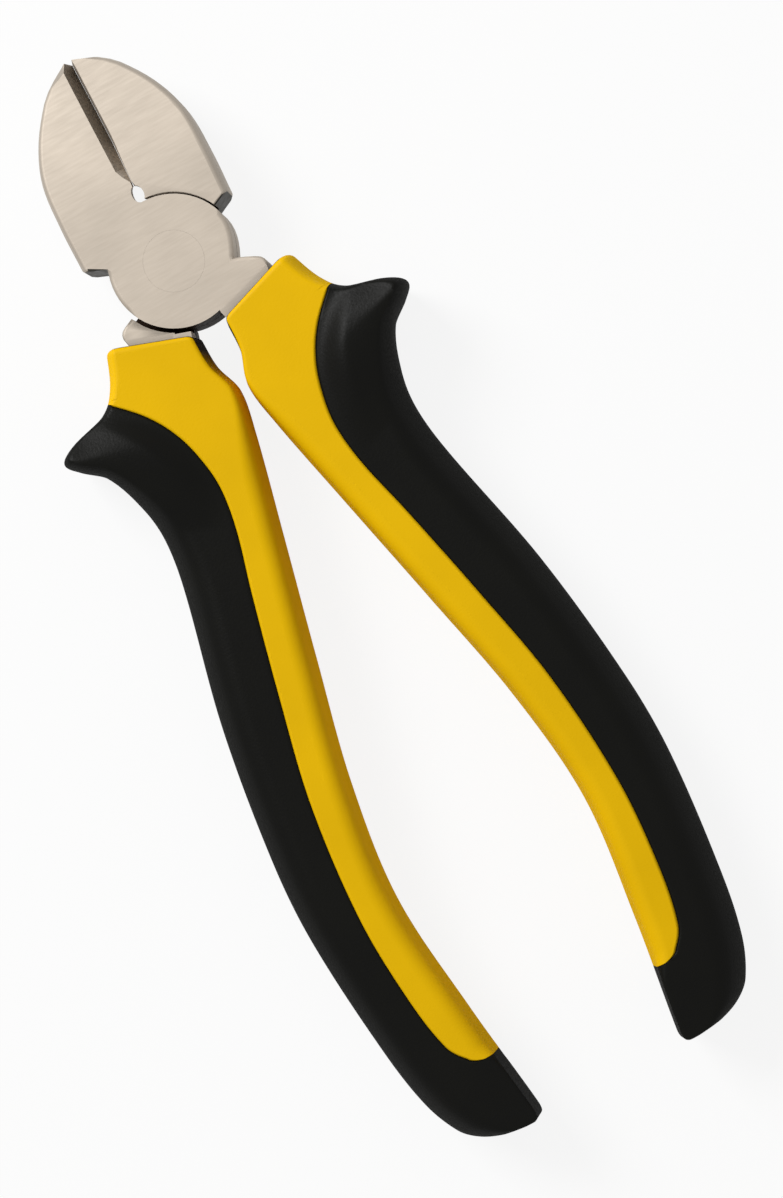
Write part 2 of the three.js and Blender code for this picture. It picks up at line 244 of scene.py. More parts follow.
def select(piece, kind, test):
    """Selects the edges or faces of a piece in edit mode that pass a test. At least one has to."""
    bpy.ops.mesh.select_mode(type={"edges": "EDGE", "faces": "FACE"}[kind])
    bpy.ops.mesh.select_all(action="DESELECT")
    mesh = bmesh.from_edit_mesh(piece.data)
    chosen = [part for part in getattr(mesh, kind) if test(part)]
    if not chosen:
        raise RuntimeError(f"No {kind} of {piece.name} pass the test")
    for part in chosen:
        part.select_set(True)
    mesh.select_flush_mode()
    bmesh.update_edit_mesh(piece.data)


def apply_modifier(piece, kind, **values):
    activate(piece)
    modifier = piece.modifiers.new(kind.title(), kind)
    for key, value in values.items():
        setattr(modifier, key, value)
    bpy.ops.object.modifier_apply(modifier=modifier.name)


def smooth(piece, angle):
    activate(piece)
    bpy.ops.object.shade_smooth_by_angle(angle=math.radians(angle))


def dress(piece, materials, body, slot, *nodes):
    """Gives a finished piece its materials and body, and hides the nodes that it stands for. The slot is not
    used.
    """
    indices = [polygon.material_index for polygon in piece.data.polygons]
    piece.data.materials.clear()
    for material in materials:
        piece.data.materials.append(material)
    piece.data.polygons.foreach_set("material_index", indices)
    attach(piece, body)
    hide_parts(*nodes)


# Materials

# Squared height of a normal, from walls to faces
WALL_TURN = (0.02, 0.55)
MOUTH_TURN = (0.1, 0.3)
# Metres: where the painted shade on a sleeve's inner wall begins along the tool near its mouth, and how
# clearly a wall there looks at the centre plane
MOUTH_STRETCH = (-0.0175, -0.0125)
MOUTH_INWARD = (-0.0006, 0)
GRIND_TURN = math.radians(-12)
GRAIN_SPREAD = 0.03
NOISE_ROUGHNESS = 0.55


def tinted(tone, factor=1):
    """A tone times a factor, with its alpha."""
    return (*(min(1, channel * factor) for channel in tone), 1)


class Nodes:
    """Short way to build a material's node tree on Object coordinates."""

    def __init__(self, name):
        self.material = bpy.data.materials.get(name) or bpy.data.materials.new(name)
        self.material.use_nodes = True
        self.tree = self.material.node_tree
        self.tree.nodes.clear()
        self.shader = self.add("ShaderNodeBsdfPrincipled")
        output = self.add("ShaderNodeOutputMaterial")
        self.feed(output.inputs["Surface"], self.shader.outputs[0])
        coordinates = self.add("ShaderNodeTexCoord")
        self.place = coordinates.outputs["Object"]
        self.normal = coordinates.outputs["Normal"]

    def add(self, kind, **values):
        node = self.tree.nodes.new(kind)
        for key, value in values.items():
            setattr(node, key, value)
        return node

    def feed(self, socket, value):
        """Gives a socket a link or a plain value."""
        if isinstance(value, bpy.types.NodeSocket):
            self.tree.links.new(value, socket)
        else:
            socket.default_value = value

    def mapped(self, scale=(1, 1, 1), turn=0):
        node = self.add("ShaderNodeMapping")
        node.inputs["Scale"].default_value = scale
        node.inputs["Rotation"].default_value[2] = turn
        self.feed(node.inputs["Vector"], self.place)
        return node.outputs[0]

    def noise(self, vector, scale, detail):
        node = self.add("ShaderNodeTexNoise")
        sockets = {"Vector": vector, "Scale": scale, "Detail": detail, "Roughness": NOISE_ROUGHNESS}
        for key, value in sockets.items():
            self.feed(node.inputs[key], value)
        return node.outputs["Fac"]

    def ramp(self, value, low, high, start=0.3, end=0.7):
        """Numbers from low to high as a value goes from start to end."""
        node = self.add("ShaderNodeMapRange")
        sockets = {"Value": value, "From Min": start, "From Max": end, "To Min": low, "To Max": high}
        for key, number in sockets.items():
            self.feed(node.inputs[key], number)
        return node.outputs[0]

    def blend(self, factor, first, second):
        node = self.add("ShaderNodeMix", data_type="RGBA")
        for key, value in {"Factor": factor, "A": first, "B": second}.items():
            self.feed(node.inputs[key], value)
        return node.outputs["Result"]

    def times(self, first, second):
        node = self.add("ShaderNodeMath", operation="MULTIPLY")
        self.feed(node.inputs[0], first)
        self.feed(node.inputs[1], second)
        return node.outputs[0]

    def parts(self, vector):
        """The three parts of a vector."""
        node = self.add("ShaderNodeSeparateXYZ")
        self.feed(node.inputs[0], vector)
        return node.outputs

    def mottle(self, pattern, tone, low, high):
        """A tone that a pattern makes darker and lighter by two factors."""
        return self.blend(self.ramp(pattern, 0, 1), tinted(tone, low), tinted(tone, high))

    def facing_shine(self, steep, flat):
        """Numbers from steep on walls to flat on the front and back faces."""
        facing = self.parts(self.normal)
        return self.ramp(self.times(facing["Z"], facing["Z"]), steep, flat, *WALL_TURN)

    def painted_shade_mask(self):
        """Upright walls near the sleeve's mouth, where shade is painted."""
        spot, facing = self.parts(self.place), self.parts(self.normal)
        upright = self.ramp(self.times(facing["Z"], facing["Z"]), 1, 0, *MOUTH_TURN)
        near = self.ramp(spot["Y"], 0, 1, *MOUTH_STRETCH)
        inward = self.ramp(self.times(spot["X"], facing["X"]), 1, 0, *MOUTH_INWARD)
        return self.times(self.times(upright, near), inward)

    def bump(self, height, depth):
        """Normals of a pattern whose depth is in millimetres."""
        node = self.add("ShaderNodeBump")
        for key, value in {"Strength": 1, "Distance": depth * MM, "Height": height}.items():
            self.feed(node.inputs[key], value)
        return node.outputs[0]

    def finish(self, **sockets):
        for key, value in sockets.items():
            self.feed(self.shader.inputs[key.replace("_", " ")], value)
        return self.material


def ground_steel(settings):
    """Bright steel, ground across and lightly clouded."""
    nodes = Nodes("ground_steel")
    cloud = nodes.noise(nodes.mapped(), scale=90, detail=2)
    grain = nodes.noise(nodes.mapped(scale=(250, 2500, 900), turn=GRIND_TURN), scale=1, detail=3)
    return nodes.finish(
        Base_Color=nodes.mottle(cloud, settings.ground, low=0.95, high=1.05),
        Metallic=1.0,
        Roughness=nodes.ramp(grain, settings.roughness - GRAIN_SPREAD, settings.roughness + GRAIN_SPREAD),
        Normal=nodes.bump(grain, depth=0.005),
    )


def forged_steel(settings):
    """Dull dark scale left on the sides of the shoulders."""
    nodes = Nodes("forged_steel")
    scale = nodes.noise(nodes.mapped(), scale=900, detail=4)
    return nodes.finish(
        Base_Color=nodes.mottle(scale, settings.forged, low=0.75, high=1.3),
        Metallic=0.6,
        Roughness=nodes.ramp(scale, low=0.5, high=0.7),
        Normal=nodes.bump(scale, depth=0.04),
    )


def joint_oil(settings):
    """Painted shade: a dark tone on the faces in the narrow gaps round the joint, where shadow falls."""
    nodes = Nodes("joint_oil")
    shade_mottle = nodes.noise(nodes.mapped(), scale=1400, detail=3)
    return nodes.finish(
        Base_Color=nodes.mottle(shade_mottle, settings.oil, low=0.7, high=1.3),
        Roughness=nodes.ramp(shade_mottle, low=0.5, high=0.65),
        Specular_IOR_Level=0.04,
        Normal=nodes.bump(shade_mottle, depth=0.03),
    )


def bevel_steel(settings):
    """Coarse grinding on the cutting bevels."""
    nodes = Nodes("bevel_steel")
    grain = nodes.noise(nodes.mapped(scale=(200, 3000, 3000)), scale=1, detail=3)
    return nodes.finish(
        Base_Color=nodes.mottle(grain, settings.bevel, low=0.8, high=1.2),
        Metallic=0.8,
        Roughness=nodes.ramp(grain, low=0.42, high=0.55),
        Normal=nodes.bump(grain, depth=0.03),
    )


def yellow_plastic(settings):
    """Hard sleeve with a fine moulded texture."""
    nodes = Nodes("yellow_plastic")
    cloud = nodes.noise(nodes.mapped(), scale=60, detail=3)
    fine = nodes.noise(nodes.mapped(), scale=4200, detail=2)
    tone = nodes.mottle(cloud, settings.yellow, low=0.95, high=1.04)
    roughness = nodes.ramp(fine, low=0.4, high=0.5)
    return nodes.finish(
        # Painted shade: the sleeve's inner wall near its mouth is darkened to the mouth's painted shade tone
        Base_Color=nodes.blend(nodes.painted_shade_mask(), tone, tinted(settings.mouth_painted_shade)),
        Roughness=nodes.times(roughness, nodes.facing_shine(steep=1.5, flat=1)),
        Specular_IOR_Level=nodes.facing_shine(steep=0.01, flat=0.08),
        Normal=nodes.bump(fine, depth=0.02),
    )


def black_rubber(settings):
    """Soft satin skin with fine specks."""
    nodes = Nodes("black_rubber")
    cloud = nodes.noise(nodes.mapped(), scale=120, detail=3)
    fine = nodes.noise(nodes.mapped(), scale=3000, detail=3)
    roughness = nodes.ramp(fine, low=0.36, high=0.46)
    return nodes.finish(
        Base_Color=nodes.mottle(cloud, settings.black, low=0.8, high=1.2),
        Roughness=nodes.times(roughness, nodes.facing_shine(steep=1.7, flat=1)),
        Specular_IOR_Level=nodes.facing_shine(steep=0.03, flat=0.09),
        Normal=nodes.bump(fine, depth=0.03),
    )


# Forged halves

# Millimetres: how near two places count as one
TOLERANCE = 0.05
COPY_MERGE = 0.02
# Millimetres: the cutting edges ahead of the joint
THROAT_REACH = 2.5
GROOVE_REACH = 2.6
CUTTING_LAND = 0.2
CUTTING_STRIP = 2.4
BEVEL_START = 2
BEVEL_REACH = 2.2
# Millimetres: the jaws, the lap between the discs, and the joint's lower side
JAW_START = 3
LAP_DEPTH = 0.3
DISC_ROOM = 0.7
BELOW_JOINT = 6
# Millimetres: the necks behind the joint
NECK_INSIDE = 4
NECK_OUTSIDE = 0.8
NECK_DEPTH = 2
NECK_ROOM = 0.3
NECK_SIDE = 2
NECK_END = 4
NECK_MIDDLE = 7
NECK_TAPER = 0.86
# Millimetres and degrees: the lip on a neck's inner side
LIP_PLACE = (4, -10.06)
LIP_SIZE = (2.6, 1.7)
LIP_TURN = 18
LIP_DROP = 0.04
# Degrees: where the relief on the rim starts, is deepest and has faded
RELIEF_START, RELIEF_DEEPEST, RELIEF_END = 20, -26, -45
# Degrees: the stretches of a rim that no other half covers
BARE_RIM = (-32, 20)
BARE_FAR_SIDE = 158
# Degrees: faces that count as one, edges that count as outer ones, and edges that stay sharp
FLAT_ANGLE = 1
RIDGE_ANGLE = 20
STEEL_SMOOTH = 28
# Least or greatest parts of a normal: flat and upright faces, and faces that look back or across
FLAT = 0.9
UPRIGHT = 0.35
SHOULDER_BACK = -0.6
NECK_BACK = -0.8
SLIGHTLY_BACK = -0.15
BEVEL_ACROSS = 0.7
# Share of the joint's radius outside which the shoulders lie
SHOULDER_SHARE = 0.9
# Order of the finishes on a half; the last is painted shade for the faces in the gaps round the joint
GROUND, SCALED, CUTTING, GAP_SHADED = range(4)


def copy_of(node, name):
    """A clean copy of a solid: its loose triangles are merged, and its flat faces become single faces."""
    activate(frame["nodes"][node])
    bpy.ops.object.duplicate()
    piece = bpy.context.object
    piece.name = name
    piece.data.name = name
    del piece["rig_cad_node"]
    edit(piece)
    bpy.ops.mesh.select_all(action="SELECT")
    bpy.ops.mesh.remove_doubles(threshold=COPY_MERGE * MM)
    bpy.ops.mesh.dissolve_degenerate(threshold=COPY_MERGE * MM)
    bpy.ops.mesh.dissolve_limited(angle_limit=math.radians(FLAT_ANGLE))
    bpy.ops.object.mode_set(mode="OBJECT")
    return piece


def ridge(edge):
    """True for an edge that stands out."""
    return edge.is_manifold and edge.calc_face_angle_signed() > math.radians(RIDGE_ANGLE)


def close_cutting_edge(piece, side, settings):
    """Brings the cutting edge to a hairline from its mate, and narrows the far jaw's bevel."""
    start = settings.joint_radius + THROAT_REACH * MM
    mesh = bmesh.from_edit_mesh(piece.data)
    for vertex in mesh.verts:
        x, y, z = vertex.co
        if y < start or abs(x) > GROOVE_REACH * MM:
            continue
        if abs(x) < CUTTING_LAND * MM:
            vertex.co.x = -side * settings.cutting_gap / 2
        elif side < 0:
            vertex.co.x *= settings.far_bevel
        elif z > MID * MM and y < settings.bevel_end:
            vertex.co.x = -settings.bevel_width * smoothstep((y - start) / settings.bevel_lead)
    bmesh.update_edit_mesh(piece.data)


def relieve_rim(piece, settings):
    """Draws in the stretch of the discs' rim between the right jaw's shoulder and the right neck."""
    mesh = bmesh.from_edit_mesh(piece.data)
    for vertex in mesh.verts:
        reach = vertex.co.xy.length
        angle = math.degrees(math.atan2(vertex.co.y, vertex.co.x))
        if abs(reach - settings.joint_radius) < TOLERANCE * MM:
            rise = smoothstep((RELIEF_START - angle) / (RELIEF_START - RELIEF_DEEPEST))
            fade = smoothstep((angle - RELIEF_END) / (RELIEF_DEEPEST - RELIEF_END))
            vertex.co.xy *= 1 - settings.rim_relief * rise * fade / reach
    bmesh.update_edit_mesh(piece.data)


def finish_of(polygon, side, radius):
    """Which finish a face of a half has, by its place and the way it looks."""
    centre, normal = polygon.center, polygon.normal
    if centre.y > 0 and normal.y < SHOULDER_BACK and abs(centre.x) > radius * SHOULDER_SHARE:
        return SCALED
    # Painted shade for the faces in the gaps: the lap between the discs, and the walls below the joint that
    # look back or stand beside a disc
    if abs(normal.z) > FLAT and abs(centre.z - MID * MM) < LAP_DEPTH * MM:
        return GAP_SHADED
    below = abs(normal.z) < UPRIGHT and centre.y < -BELOW_JOINT * MM
    beside_disc = centre.xy.length < radius + DISC_ROOM * MM
    if below and (normal.y < SLIGHTLY_BACK or beside_disc):
        return GAP_SHADED
    bevel = centre.y > radius + BEVEL_START * MM and abs(centre.x) < BEVEL_REACH * MM
    if side > 0 and bevel and normal.x > BEVEL_ACROSS:
        return CUTTING
    return GROUND


def forge(name, node, side, settings):
    """One half. Side is 1 for the one with its handle on the right and its disc in front, else -1."""
    piece = copy_of(node, name)
    radius = settings.joint_radius
    face = JOINT_THICKNESS * MM if side > 0 else 0.0
    tolerance = TOLERANCE * MM

    def on_rim(edge):
        flat = all(abs(v.co.z - face) < tolerance for v in edge.verts)
        depths = [radius - v.co.xy.length for v in edge.verts]
        return flat and all(-tolerance < depth < settings.rim_relief + tolerance for depth in depths)

    def bare_rim(edge):
        middle = (edge.verts[0].co + edge.verts[1].co) / 2
        angle = math.degrees(math.atan2(middle.y, side * middle.x))
        bare = BARE_RIM[0] < angle < BARE_RIM[1] or abs(angle) > BARE_FAR_SIDE
        return on_rim(edge) and bare

    def outer(edge):
        middle = (edge.verts[0].co + edge.verts[1].co) / 2
        level = abs(edge.verts[0].co.z - edge.verts[1].co.z) < tolerance
        on_face = min(abs(middle.z), abs(middle.z - JOINT_THICKNESS * MM)) < tolerance
        in_strip = middle.y > radius and abs(middle.x) < CUTTING_STRIP * MM
        jaw = middle.y > JAW_START * MM and not in_strip
        beside_joint = -radius - NECK_DEPTH * MM < middle.y <= JAW_START * MM
        neck = beside_joint and level and on_face and abs(middle.x) > NECK_INSIDE * MM
        clear = middle.xy.length > radius + NECK_OUTSIDE * MM
        return ridge(edge) and clear and (jaw or neck)

    edit(piece)
    close_cutting_edge(piece, side, settings)
    relieve_rim(piece, settings)
    select(piece, "edges", outer)
    bpy.ops.mesh.bevel(offset=settings.edge_bevel, segments=3, affect="EDGES", clamp_overlap=False)
    select(piece, "edges", bare_rim)
    bpy.ops.mesh.bevel(offset=settings.rim_bevel, segments=4, affect="EDGES", clamp_overlap=False)
    bpy.ops.object.mode_set(mode="OBJECT")
    for polygon in piece.data.polygons:
        polygon.material_index = finish_of(polygon, side, radius)
    return piece


def lengthen_neck(piece, side, settings):
    """Runs the neck's end into its sleeve, so that no gap shows at the sleeve's mouth."""
    radius = settings.joint_radius

    def end_face(polygon):
        centre = polygon.calc_center_median()
        clear = centre.xy.length > radius + NECK_ROOM * MM and side * centre.x > NECK_SIDE * MM
        behind = -radius - NECK_END * MM < centre.y < -NECK_END * MM
        return clear and behind and polygon.normal.y < NECK_BACK

    edit(piece)
    select(piece, "faces", end_face)
    bpy.ops.transform.translate(value=(0, -settings.neck_reach, 0))
    middle = (side * NECK_MIDDLE * MM, 0, MID * MM)
    bpy.ops.transform.resize(value=(NECK_TAPER, 1, 1), center_override=middle)
    bpy.ops.object.mode_set(mode="OBJECT")


def add_neck_lip(piece, side):
    """Carries the neck's outer half on to the tool's inner side, along the other half's disc."""
    low, high = (0, MID) if side > 0 else (MID, JOINT_THICKNESS)
    edit(piece)
    bpy.ops.mesh.primitive_cube_add(
        size=1,
        location=(side * LIP_PLACE[0] * MM, LIP_PLACE[1] * MM, (low + high) / 2 * MM),
        rotation=(0, 0, side * math.radians(LIP_TURN)),
        scale=(LIP_SIZE[0] * MM, LIP_SIZE[1] * MM, (high - low - LIP_DROP) * MM),
    )
    bpy.ops.object.mode_set(mode="OBJECT")


class PLIERS_OT_forgings(bpy.types.Operator):
    """Model the two forged steel halves"""

    bl_idname = "pliers.forgings"
    bl_label = "Forged Halves"

    def execute(self, context):
        settings = context.scene.pliers_steel
        finishes = [finish(settings) for finish in (ground_steel, forged_steel, bevel_steel, joint_oil)]
        halves = (
            ("front_forging", "front_half", 1, "front_lever"),
            ("rear_forging", "rear_half", -1, "rear_lever"),
        )
        for name, node, side, body in halves:
            piece = forge(name, node, side, settings)
            lengthen_neck(piece, side, settings)
            add_neck_lip(piece, side)
            smooth(piece, STEEL_SMOOTH)
            apply_modifier(piece, "WEIGHTED_NORMAL", keep_sharp=True)
            dress(piece, finishes, body, "steel", node)
        return {"FINISHED"}


class PLIERS_OT_rivet(bpy.types.Operator):
    """Model the flush rivet"""

    bl_idname = "pliers.rivet"
    bl_label = "Rivet"

    def execute(self, context):
        settings = context.scene.pliers_steel
        piece = copy_of("pivot_rivet", "flush_rivet")
        radius = RIVET_HIGH.x
        spread = (radius + settings.rivet_clearance - settings.rivet_gap) / radius
        edit(piece)
        bpy.ops.mesh.select_all(action="SELECT")
        bpy.ops.transform.resize(value=(spread, spread, 1), center_override=(0, 0, 0))
        bpy.ops.object.mode_set(mode="OBJECT")
        smooth(piece, STEEL_SMOOTH)
        dress(piece, [ground_steel(settings)], "front_lever", "steel", "pivot_rivet")
        return {"FINISHED"}


# Grips


def curve_at(points, station):
    """Smooth curve through [value, station] points, read at a station."""
    last = len(points) - 1

    def slope(k):
        before, after = points[max(k - 1, 0)], points[min(k + 1, last)]
        return (after[0] - before[0]) / (after[1] - before[1])

    i = 0
    while i < last - 1 and station > points[i + 1][1]:
        i += 1
    (start_value, start), (end_value, end) = points[i], points[i + 1]
    span = end - start
    t = min(max((station - start) / span, 0), 1)
    ease = t * t * (3 - 2 * t)
    lead = t * (1 - t) * (1 - t) * slope(i)
    trail = t * t * (1 - t) * slope(i + 1)
    return start_value + (end_value - start_value) * ease + span * (lead - trail)


def smoothstep(value):
    t = min(max(value, 0), 1)
    return t * t * (3 - 2 * t)


# Steps in which the crossing of two lines is closed in
HALVINGS = 40
# Points along a section's wall and rounded edge, and along its outside
FINE = 60
OUTSIDE_FINE = 240
SAME_POINT = 1e-9
# Stations where a change along the grip starts, and how long it takes: the nose, the edges, the tail
NOSE_CHANGE = (8, 26)
EDGE_CHANGE = (9, 14)
TAIL_CHANGE = (105.5, 5)
WIDEST_NOSE = 0.45
# The guard's crest is sharp at its tip, and softer where it nears the colour line
CREST_TIP, CREST_REACH = 24, 9
CREST_SHARP, CREST_SOFTER = 0.1, 0.5
CREST_POWER = 1.25
# Ends of the stretches between rows, with their pitches. Rows crowd where the colour line starts and ends
ROW_STRETCHES = [
    (3, 0.25), (4.4, 0.02), (14, 0.25), (30, 0.45), (102, 0.8),
    (106.6, 0.25), (107.7, 0.04), (115.5, 0.3), (OUTER_EDGE[-1][1], 0.1),
]
ROW_MARGIN = 0.05
END_ANGLES = (0, 18, 36, 54, 72)


def change(station, span):
    start, reach = span
    return smoothstep((station - start) / reach)


class Grip:
    """Shape of one grip in millimetres, as it lies on the right."""

    def __init__(self, settings, radius):
        self.radius = radius / MM
        for key in GripSettings.__annotations__:
            value = getattr(settings, key)
            if isinstance(value, float):
                setattr(self, key, value / MM)
        self.start = OUTER_EDGE[0][1]
        self.end = OUTER_EDGE[-1][1]
        self.lead = INNER_EDGE[0][1] - self.start
        self.front_slope = self.lead / (OUTER_EDGE[0][0] - INNER_EDGE[0][0])
        self.line_start = self.first_crossing()

    def first_crossing(self):
        """Station at which the colour line leaves the outer edge."""
        low, high = COLOUR_LINE[0][1], COLOUR_LINE[1][1]
        for _ in range(HALVINGS):
            middle = (low + high) / 2
            if curve_at(OUTER_EDGE, middle) > curve_at(COLOUR_LINE, middle):
                high = middle
            else:
                low = middle
        return high

    def front_at(self, x):
        return -self.radius - INNER_EDGE[0][1] + (x - INNER_EDGE[0][0]) * self.front_slope

    def section(self, station):
        """Upper half of the section at a station, from the inner parting line to the outer one."""
        fade = min(max((station - self.start) / self.slant, 0), 1)
        inner_station = station + self.lead * (1 - fade)
        inner = np.array([curve_at(INNER_EDGE, inner_station), -self.radius - inner_station])
        outer = np.array([curve_at(OUTER_EDGE, station), -self.radius - station])
        width = float(np.linalg.norm(outer - inner))
        along = min(max(station / self.end, 0), 1)
        half = (self.thickness + (self.tail_thickness - self.thickness) * along * along) / 2
        nose = self.front_nose + (self.body_nose - self.front_nose) * change(station, NOSE_CHANGE)
        nose = min(nose, width * WIDEST_NOSE)
        body, tail = change(station, EDGE_CHANGE), change(station, TAIL_CHANGE)
        radius = self.front_radius + (self.body_radius - self.front_radius) * body
        radius += (self.tail_radius - self.body_radius) * tail
        draft = self.front_draft + (self.body_draft - self.front_draft) * body
        draft += (self.tail_draft - self.body_draft) * tail
        edge = draft + radius
        turn = np.linspace(math.pi / 2, 0, FINE)
        fillet = np.stack([edge - radius * np.sin(turn), half - radius * (1 - np.cos(turn))], 1)
        rounding = np.linspace(math.pi / 2, 0, OUTSIDE_FINE)
        outside = np.stack([width - nose + nose * np.cos(rounding), half * np.sin(rounding)], 1)
        wall = np.linspace((0, 0), fillet[0], FINE)[:-1]
        points = np.concatenate([wall, fillet, outside])
        steps = np.linalg.norm(np.diff(points, axis=0), axis=1)
        keep = np.concatenate([[True], steps > SAME_POINT])
        points = points[keep]
        arc = np.concatenate([[0], np.cumsum(np.linalg.norm(np.diff(points, axis=0), axis=1))])
        tangent = np.gradient(points, axis=0)
        tangent /= np.linalg.norm(tangent, axis=1)[:, None]
        normal = np.stack([-tangent[:, 1], tangent[:, 0]], 1)
        line = self.line_crossing(inner, outer, width)
        return {
            "inner": inner, "along": (outer - inner) / width, "width": width, "half": half,
            "arc": arc, "points": points, "normal": normal,
            "line": float(np.interp(line, points[:, 0], arc)), "total": float(arc[-1]),
            "fillet": [float(np.interp(x, points[:, 0], arc)) for x in (fillet[0, 0], fillet[-1, 0])],
        }

    def line_crossing(self, inner, outer, width):
        """Distance from the inner edge at which a section crosses the colour line."""

        def beyond(t):
            place = inner + (outer - inner) * t
            station = -self.radius - place[1]
            if station < COLOUR_LINE[0][1]:
                return False
            return station > COLOUR_LINE[-1][1] or place[0] > curve_at(COLOUR_LINE, station)

        if not beyond(1.0):
            return width
        if beyond(0.0):
            return 0.0
        low, high = 0.0, 1.0
        for _ in range(HALVINGS):
            middle = (low + high) / 2
            if beyond(middle):
                high = middle
            else:
                low = middle
        return width * high

    def crest(self, x, y):
        """Extra half thickness on the finger guard, outside the colour line."""
        offset = (self.front_at(x) - y) / math.hypot(1, self.front_slope) - self.crest_setback
        run = offset / self.crest_rise if offset < 0 else offset / self.crest_fall
        side = x - curve_at(COLOUR_LINE, -self.radius - y)
        soft = CREST_SHARP + CREST_SOFTER * smoothstep((CREST_TIP - x) / CREST_REACH)
        roof = min(max(1 + soft - math.hypot(run, soft), 0), 1)
        return self.crest_height * roof ** CREST_POWER * smoothstep(side / self.crest_fade)

    def stations(self, first, last):
        """Rows along the grip, close together at the guard and the tail."""
        rows = []
        low = self.start
        for high, pitch in ROW_STRETCHES:
            count = max(1, round((high - low) / pitch))
            rows.extend(low + (high - low) * k / count for k in range(count))
            low = high
        rows.append(self.end)
        return [first, *[row for row in rows if first + ROW_MARGIN < row < last - ROW_MARGIN], last]


def crowded_shares(count, crowd):
    """Even shares from 0 to 1, with extra ones crowded near 0."""
    even = np.linspace(0, 1, count + 1)
    return np.unique(np.concatenate([even, crowd]))


def grip_point(grip, section, arc, inset, upper, shrink=0.0):
    """Place of a point on a section, sunk by an inset and drawn to the section's middle by a shrink."""
    points, normal = section["points"], section["normal"]
    columns = (points[:, 0], points[:, 1], normal[:, 0], normal[:, 1])
    w, z, nw, nz = (np.interp(arc, section["arc"], column) for column in columns)
    width, half = section["width"], section["half"]
    w = width / 2 + (w - nw * inset - width / 2) * (1 - 2 * shrink / width)
    z = (z - nz * inset) * (1 - shrink / half)
    x, y = section["inner"] + section["along"] * w
    z *= 1 + grip.crest(x, y) / half
    return x, y, MID + (z if upper else -z)


def grid_of(name, rows):
    """A grid whose rows take the given places, in millimetres."""
    deselect_all()
    columns = len(rows[0])
    bpy.ops.mesh.primitive_grid_add(x_subdivisions=columns - 1, y_subdivisions=len(rows) - 1, size=1)
    piece = bpy.context.object
    piece.name = name
    piece.data.name = name
    for vertex in piece.data.vertices:
        column = round((vertex.co.x + 0.5) * (columns - 1))
        row = round((vertex.co.y + 0.5) * (len(rows) - 1))
        vertex.co = Vector(rows[row][column]) * MM
    return piece


def groove(grip, gap):
    """How far a surface dips at a distance from the colour line."""
    near = max(0, 1 - gap / grip.groove_width)
    return grip.groove_depth * near * near


def rounded_inset(grip, station):
    """How far a row in the rounded front or tail end is drawn in."""
    front = grip.start + grip.front_round
    tail = grip.end - grip.tail_round
    if station < front:
        cosine = 1 - (station - grip.start) / grip.front_round
        return grip.front_round * (1 - math.sqrt(max(0, 1 - cosine * cosine)))
    if station > tail:
        cosine = (station - tail) / grip.tail_round
        return grip.tail_round * (1 - math.sqrt(max(0, 1 - cosine * cosine)))
    return 0.0


def end_rows(grip):
    """Stations of the rounded ends, even in angle."""
    angles = [math.radians(angle) for angle in END_ANGLES]
    front = [grip.start + grip.front_round * (1 - math.cos(a)) for a in angles]
    tail = [grip.end - grip.tail_round * (1 - math.cos(a)) for a in reversed(angles)]
    return front, tail


# Columns across a section: the inner wall, its rounded edge, the face and the rounded outside
WALL_STEPS = 5
FILLET_STEPS = 8
FLAT_STEPS = 11
OUTSIDE_STEPS = 18
FACE_STEPS = 22
# Extra columns close to the colour line, as shares of the yellow face and of the black one
FACE_CROWD = [0.008, 0.016, *np.linspace(0.03, 0.42, 24)]
NEAR_CROWD = [0.01, 0.02, 0.035]
FACE_SHARES = 1 - crowded_shares(FACE_STEPS, FACE_CROWD)[::-1]
NEAR_SHARES = crowded_shares(WALL_STEPS + FILLET_STEPS + FLAT_STEPS - len(NEAR_CROWD), NEAR_CROWD)
# Stretch of the outside whose columns keep still, and the least share of the black that lies before it
ANCHOR = 8.5
ANCHOR_SHARE = 0.35
# Least width of a face across which columns are spread
LEAST_FACE = 0.6
# How far behind the colour line's start the first black row lies
FIRST_ROW = 0.06


def edge_arcs(section):
    """Places across the inner wall and its rounded edge."""
    wall, edge = section["fillet"]
    upright = np.linspace(0, wall, WALL_STEPS + 1)
    return np.concatenate([upright, np.linspace(wall, edge, FILLET_STEPS + 1)[1:]])


def yellow_arcs(section):
    """Places across the yellow face, from the inner parting line to the colour line."""
    line, edge = section["line"], section["fillet"][1]
    least = edge + LEAST_FACE
    end = max(line, least)
    places = np.concatenate([edge_arcs(section), edge + (end - edge) * FACE_SHARES[1:]])
    return places if line >= least else places * line / least


def black_arcs(section):
    """Places across the black skin: those on the rounded outside keep still where the colour line turns."""
    line, total, edge = section["line"], section["total"], section["fillet"][1]
    anchor = max(total - ANCHOR, line + (total - line) * ANCHOR_SHARE)
    wrapped = np.concatenate([edge_arcs(section), np.linspace(edge, anchor, FLAT_STEPS + 1)[1:]]) / anchor
    t = min(line / (edge + LEAST_FACE), 1)
    near = line + (anchor - line) * (wrapped * (1 - t) + NEAR_SHARES * t)
    return [*near, *np.linspace(anchor, total, OUTSIDE_STEPS + 1)[1:]]


def sleeve_rows(grip):
    """Closed rings of the yellow sleeve, sunk under the black skin."""
    front, _ = end_rows(grip)
    core_end = grip.end - 2 * grip.skin - grip.skin_room
    rows = []
    for station in [*front, *grip.stations(grip.start + grip.front_round, core_end)]:
        section = grip.section(station)
        line, total = section["line"], section["total"]
        shrink = rounded_inset(grip, station)
        depth = grip.skin + grip.skin_room if line < total else 0
        half = []
        for upper in (True, False):
            ring = []
            for arc in yellow_arcs(section):
                dip = groove(grip, line - arc) if line < total else 0
                ring.append(grip_point(grip, section, arc, dip if line > 0 else depth, upper, shrink))
            ring.extend(grip_point(grip, section, arc, depth, upper, shrink) for arc in black_arcs(section))
            half.append(ring)
        rows.append([*half[0], *half[1][::-1][1:]])
    return rows


